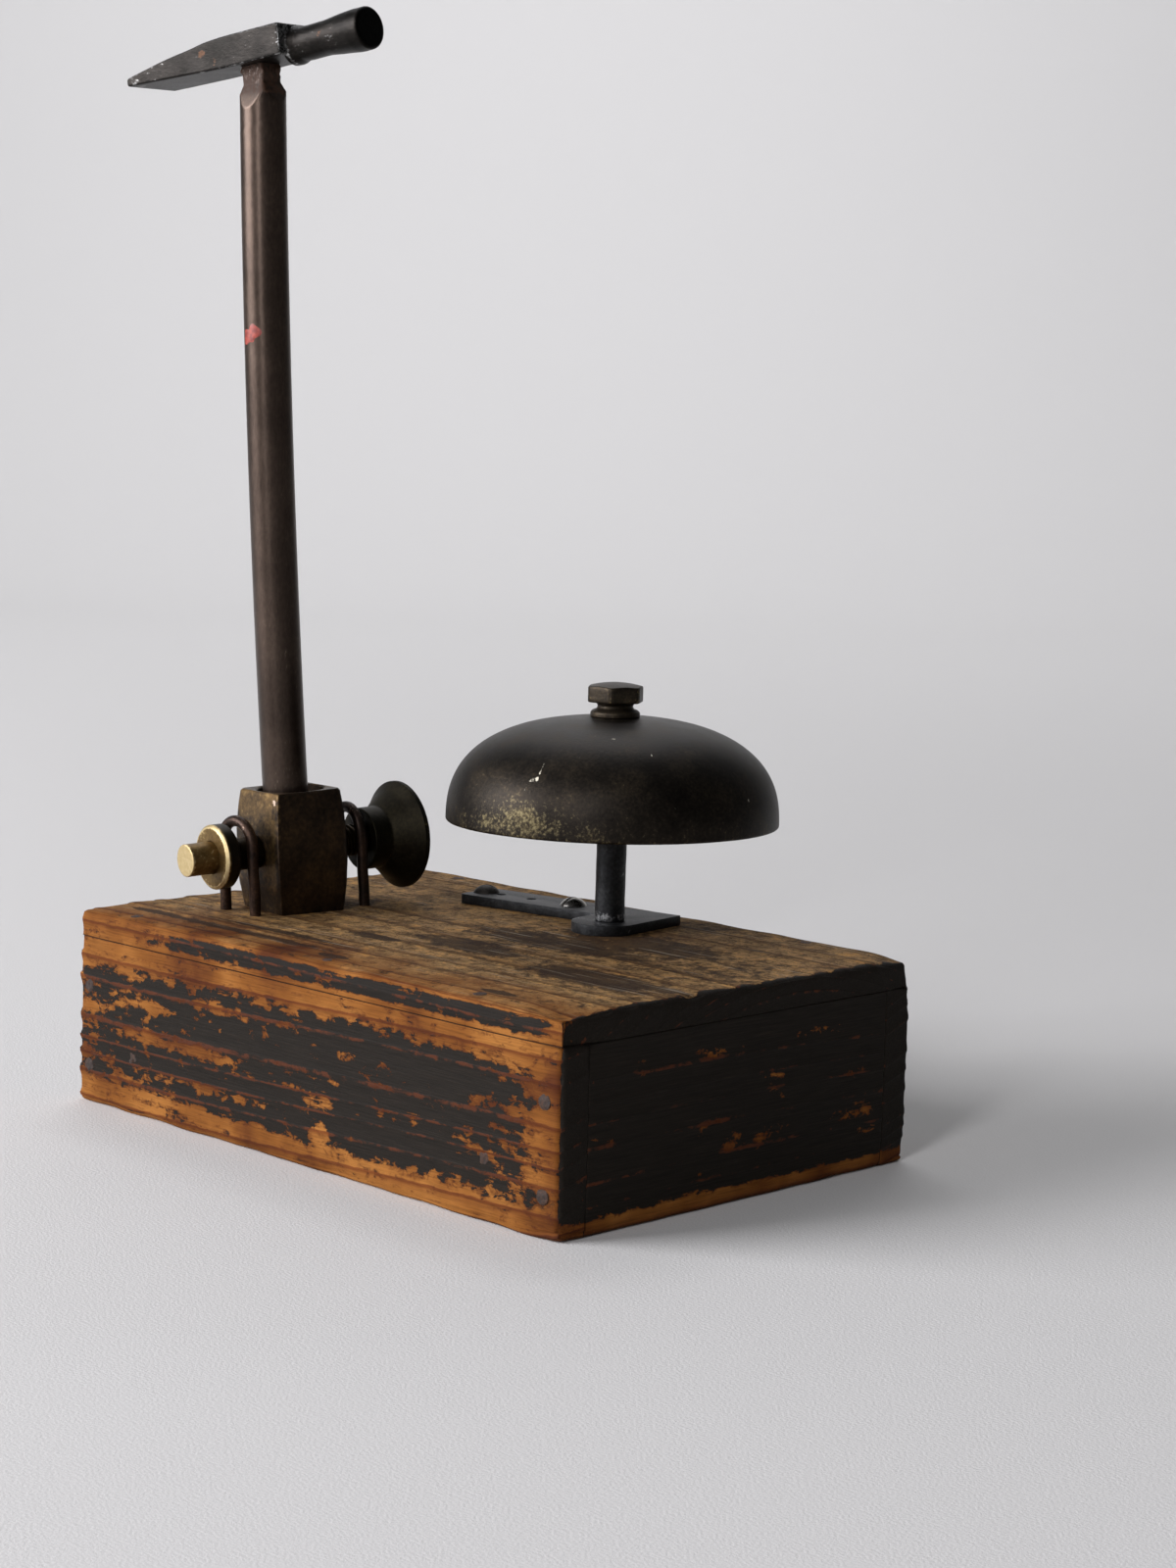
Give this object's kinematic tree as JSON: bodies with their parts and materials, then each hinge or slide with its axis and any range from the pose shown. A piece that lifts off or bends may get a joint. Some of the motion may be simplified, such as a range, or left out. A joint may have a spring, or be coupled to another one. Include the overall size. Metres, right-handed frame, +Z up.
{
  "type": "hand-struck bell stand",
  "caption": "Bell gong on a post and iron bracket on a nailed wooden box, with a small cross-peen hammer standing in a brass clamp socket whose knob screw turns.",
  "frame": {"origin": "centre of the box's underside, on the surface that it stands on", "axes": "+X along the box towards its right end, +Y from its front to its back, +Z up"},
  "size_m": [0.1471, 0.0982, 0.2108],
  "materials": {
    "worn_top_wood": "weathered bare pine",
    "painted_wood": "worn charcoal paint on orange pine",
    "bare_wood": "bare pine",
    "nail_iron": "rusted wire nails",
    "black_iron": "blackened iron",
    "screw_steel": "aged steel",
    "leather_washer": "oiled leather",
    "gong_brass": "dark olive-black patina",
    "nut_brass": "brown brass",
    "socket_brass": "dark patina worn to brass at the edges",
    "bright_brass": "turned bright brass",
    "staple_steel": "reddish brown steel wire",
    "knob_brass": "black patina",
    "handle_steel": "warm grey-brown steel rod",
    "head_steel": "forged and ground grey steel"
  },
  "bodies": {
    "stand": {"top_board": "worn_top_wood", "front_board": "painted_wood", "back_board": "painted_wood", "left_end_board": "painted_wood", "right_end_board": "painted_wood", "floor_board": "bare_wood", "front_nails": "nail_iron", "back_nails": "nail_iron", "top_nails": "nail_iron", "bracket": "black_iron", "bracket_screws": "screw_steel", "gong_post": "black_iron", "gong_washer": "leather_washer", "gong": "gong_brass", "gong_nut": "nut_brass", "socket_barrel": "socket_brass", "left_stud": "bright_brass", "round_nut": "bright_brass", "left_staple": "staple_steel", "right_staple": "staple_steel"},
    "clamp_screw": {"clamp_screw": "bright_brass"},
    "thumb_knob": {"thumb_knob": "knob_brass"},
    "hammer": {"hammer_handle": "handle_steel", "hammer_head": "head_steel"}
  },
  "joints": [
    {"name": "hammer_lift", "type": "slide", "parent": "stand", "child": "hammer", "axis": [-0.0343, -0.0628, 0.9974], "range_m": [0, 0.035]},
    {"name": "screw_travel", "type": "slide", "parent": "stand", "child": "clamp_screw", "axis": [0.1214, 0.9917, 0.0428], "range_m": [0, 0.0025]},
    {"name": "knob_turn", "type": "hinge", "parent": "clamp_screw", "child": "thumb_knob", "pos_m": [-0.04331, -0.01194, 0.05054], "axis": [0.1214, 0.9917, 0.0428], "range_deg": [0, 720]}
  ],
  "couplings": [
    {"joint": "knob_turn", "follows": "screw_travel", "rad_per_m": 4947.4}
  ]
}
